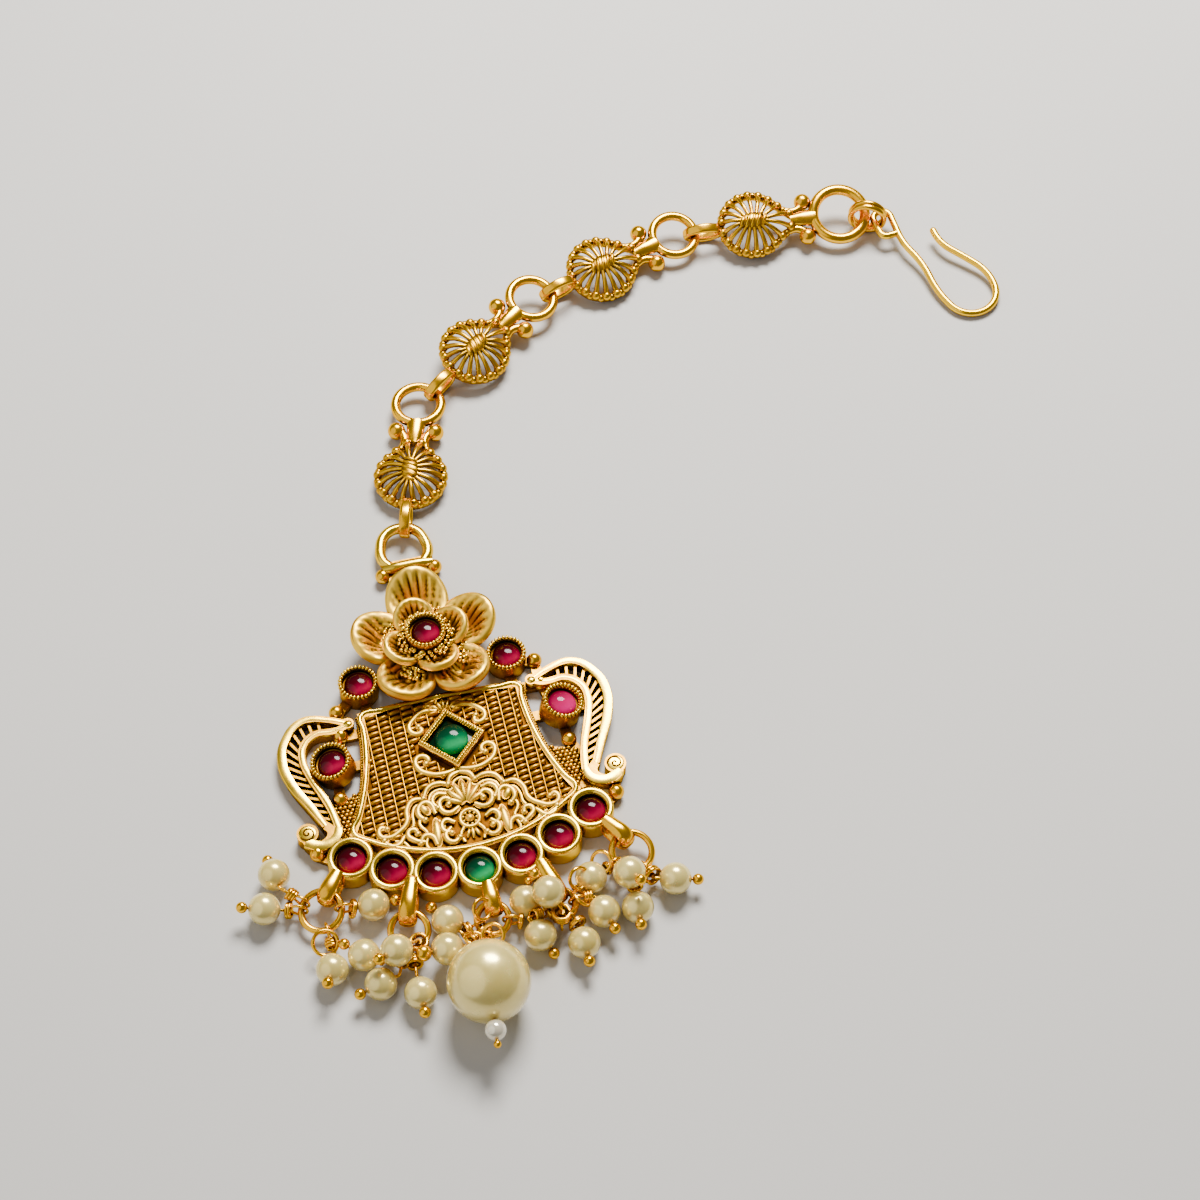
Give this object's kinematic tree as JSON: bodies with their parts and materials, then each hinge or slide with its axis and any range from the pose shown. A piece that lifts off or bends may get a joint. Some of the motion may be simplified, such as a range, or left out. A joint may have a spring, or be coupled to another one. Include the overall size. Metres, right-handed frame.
{
  "type": "maang tikka",
  "caption": "Forehead jewel: stone-set pierced pendant with pearl drops on jump rings, a chain of domed links and a wire hook for the hair",
  "frame": {"origin": "on the pendant's flat back, under the middle of the panel's centre line", "axes": "+X to the right of the pendant seen from its face, +Y from the drops to the chain, +Z out of the pendant's face"},
  "size_m": [0.1207, 0.1215, 0.0101],
  "materials": {
    "gold_pendant": "antique gold, satin ground with polished rims and dark recesses",
    "gold_chain": "antique gold, satin",
    "gold_hook": "polished gold wire",
    "gold_wire": "polished gold wire",
    "red_stone": "polished cabochon",
    "green_stone": "polished cabochon",
    "pearl": "soft pearl lustre",
    "white_bead": "glossy"
  },
  "bodies": {
    "root": {"pendant": "gold_pendant", "stone_flower": "red_stone", "stone_centre": "green_stone", "stone_top_left": "red_stone", "stone_top_right": "red_stone", "stone_side_left": "red_stone", "stone_side_right": "red_stone", "stone_rim_1": "red_stone", "stone_rim_2": "red_stone", "stone_rim_3": "red_stone", "stone_rim_4": "green_stone", "stone_rim_5": "red_stone", "stone_rim_6": "red_stone", "stone_rim_7": "red_stone", "link_1": "gold_chain", "link_2": "gold_chain", "link_3": "gold_chain", "link_4": "gold_chain", "hook_link": "gold_hook", "hook": "gold_hook", "jump_ring_1": "gold_wire", "jump_ring_2": "gold_wire", "jump_ring_3": "gold_wire", "jump_ring_4": "gold_wire", "jump_ring_5": "gold_wire", "pearl_1": "pearl", "pearl_2": "pearl", "pearl_3": "pearl", "pearl_4": "pearl", "pearl_5": "pearl", "pearl_6": "pearl", "pearl_7": "pearl", "pearl_8": "pearl", "pearl_9": "pearl", "pearl_10": "pearl", "pearl_11": "pearl", "pearl_12": "pearl", "pearl_13": "pearl", "pearl_14": "pearl", "pearl_15": "pearl", "pearl_16": "pearl", "pearl_17": "pearl", "pearl_18": "pearl", "pearl_19": "pearl", "pearl_drop": "pearl", "bead_white": "white_bead", "pins_1": "gold_wire", "pins_2": "gold_wire", "pins_3": "gold_wire", "pins_4": "gold_wire", "pins_5": "gold_wire"}
  },
  "joints": []
}
